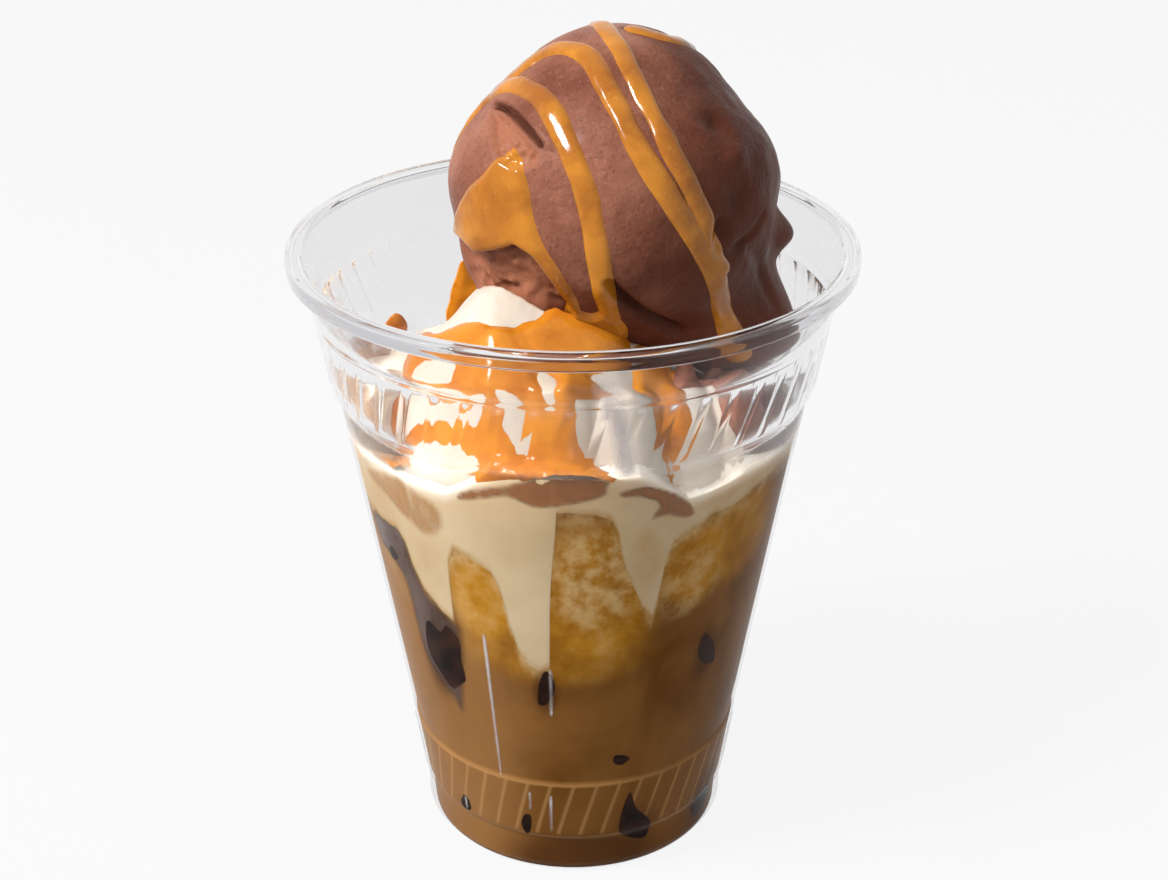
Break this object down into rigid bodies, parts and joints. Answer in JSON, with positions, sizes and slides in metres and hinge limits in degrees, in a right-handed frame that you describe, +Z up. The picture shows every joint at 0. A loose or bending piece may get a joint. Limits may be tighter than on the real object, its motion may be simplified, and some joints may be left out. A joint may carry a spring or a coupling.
{
  "type": "affogato",
  "caption": "Affogato in a clear plastic cup with a rolled rim and slanted-rib bands: coffee, a cream layer, a vanilla mound and a chocolate scoop standing above the rim.",
  "frame": {"origin": "on the surface the cup stands on, under the middle of the whole part, which is the cup's axis", "axes": "+Z up along the cup's axis, -Y the side the picture shows, +X to the right of it, towards the skirt of the scoop"},
  "size_m": [0.095, 0.095, 0.146],
  "materials": {
    "clear_plastic": "clear and glossy, with fine moulding lines",
    "coffee": "milky brown liquid, glossy",
    "cream": "wet melted cream, glossy",
    "vanilla_ice_cream": "soft satin ice cream",
    "chocolate_ice_cream": "satin ice cream with a fine grain",
    "caramel": "glossy sauce",
    "coffee_jelly": "glossy dark jelly"
  },
  "bodies": {
    "root": {"cup": "clear_plastic", "coffee": "coffee", "cream_layer": "cream", "vanilla_mound": "vanilla_ice_cream", "chocolate_scoop": "chocolate_ice_cream"}
  },
  "joints": []
}
